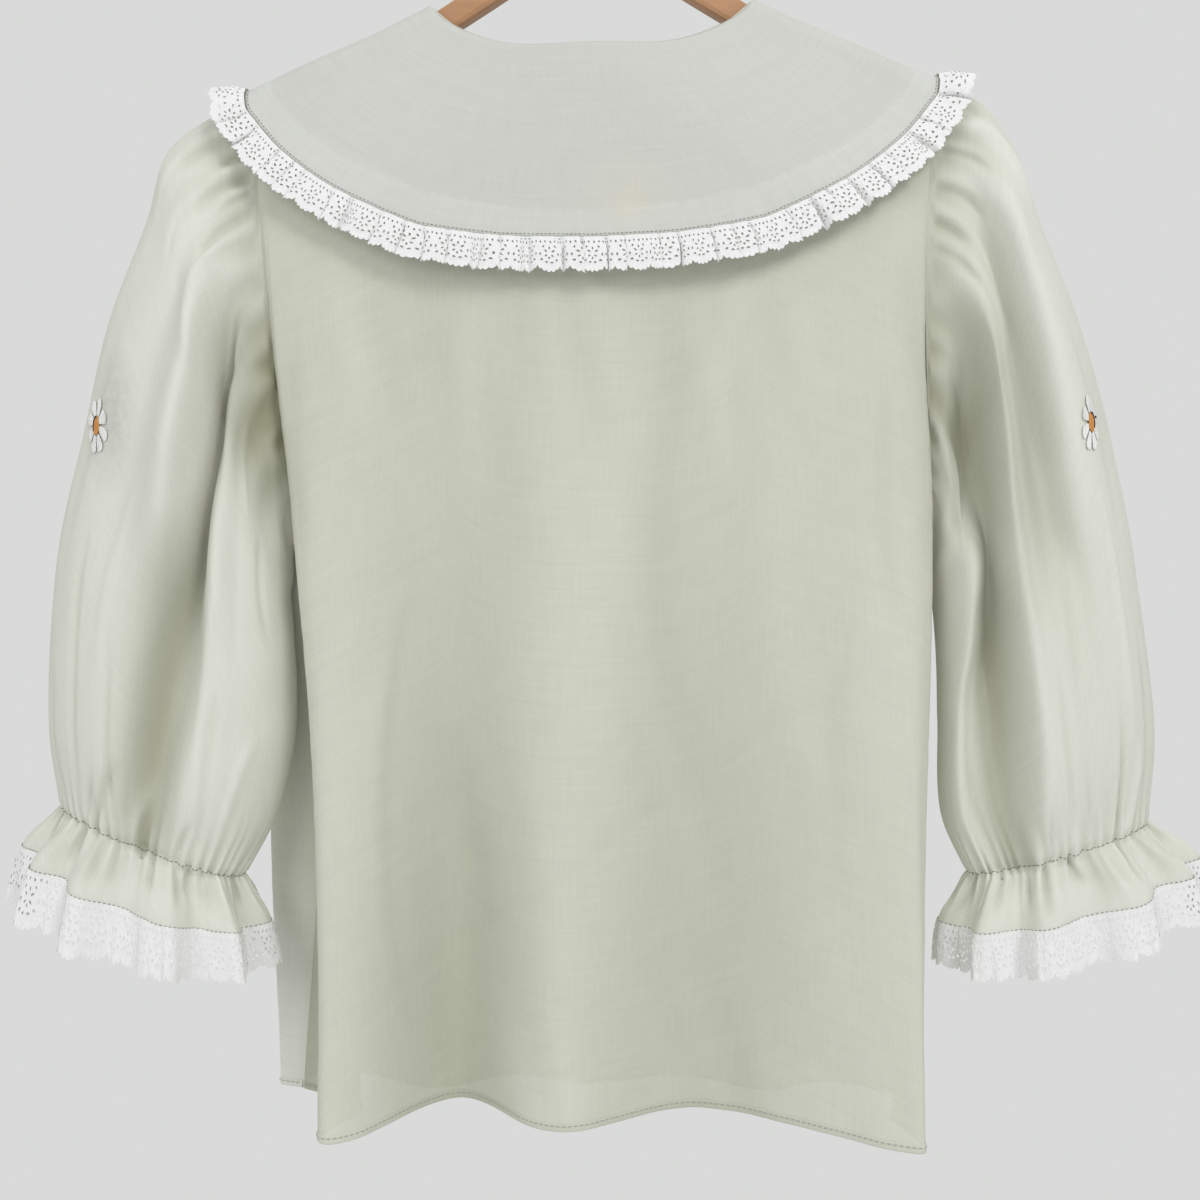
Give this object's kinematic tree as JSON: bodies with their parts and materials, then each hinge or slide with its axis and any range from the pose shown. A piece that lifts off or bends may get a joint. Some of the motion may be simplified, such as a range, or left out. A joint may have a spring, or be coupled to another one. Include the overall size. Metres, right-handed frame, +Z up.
{
  "type": "embroidered blouse on a wooden hanger",
  "caption": "Sheer cotton blouse with a wide lace-edged collar, puff sleeves with frilled, lace-edged elastic cuffs and a daisy worked on each, buttoned in front, on a wooden hanger.",
  "frame": {"origin": "inside top of the hanger's hook, where it rests on a rod", "axes": "+Z up; -Y out of the blouse's back, which is the side in the picture; -X to the wearer's left"},
  "size_m": [0.709, 0.1212, 0.7716],
  "materials": {
    "mint_cotton": "plain-woven sheer cotton, fine slubs, matt",
    "pale_mint_cotton": "two layers of the same cotton, so paler and less sheer",
    "white_lace": "cotton lace edging, matt",
    "pale_button": "plain, slightly glossy",
    "white_thread": "satin stitch, soft shine",
    "yolk_thread": "satin stitch, soft shine",
    "beech": "clear satin lacquer",
    "steel": "bright wire"
  },
  "bodies": {
    "root": {"back": "mint_cotton", "front_left": "mint_cotton", "front_right": "mint_cotton", "button_band": "mint_cotton", "button_1": "pale_button", "button_2": "pale_button", "button_3": "pale_button", "button_4": "pale_button", "button_5": "pale_button", "button_6": "pale_button", "button_7": "pale_button", "collar": "pale_mint_cotton", "collar_lace": "white_lace", "sleeve_left": "mint_cotton", "sleeve_right": "mint_cotton", "cuff_lace_left": "white_lace", "cuff_lace_right": "white_lace", "daisy_petals_left": "white_thread", "daisy_petals_right": "white_thread", "daisy_eye_left": "yolk_thread", "daisy_eye_right": "yolk_thread", "hanger": "beech", "hanger_hook": "steel"}
  },
  "joints": []
}
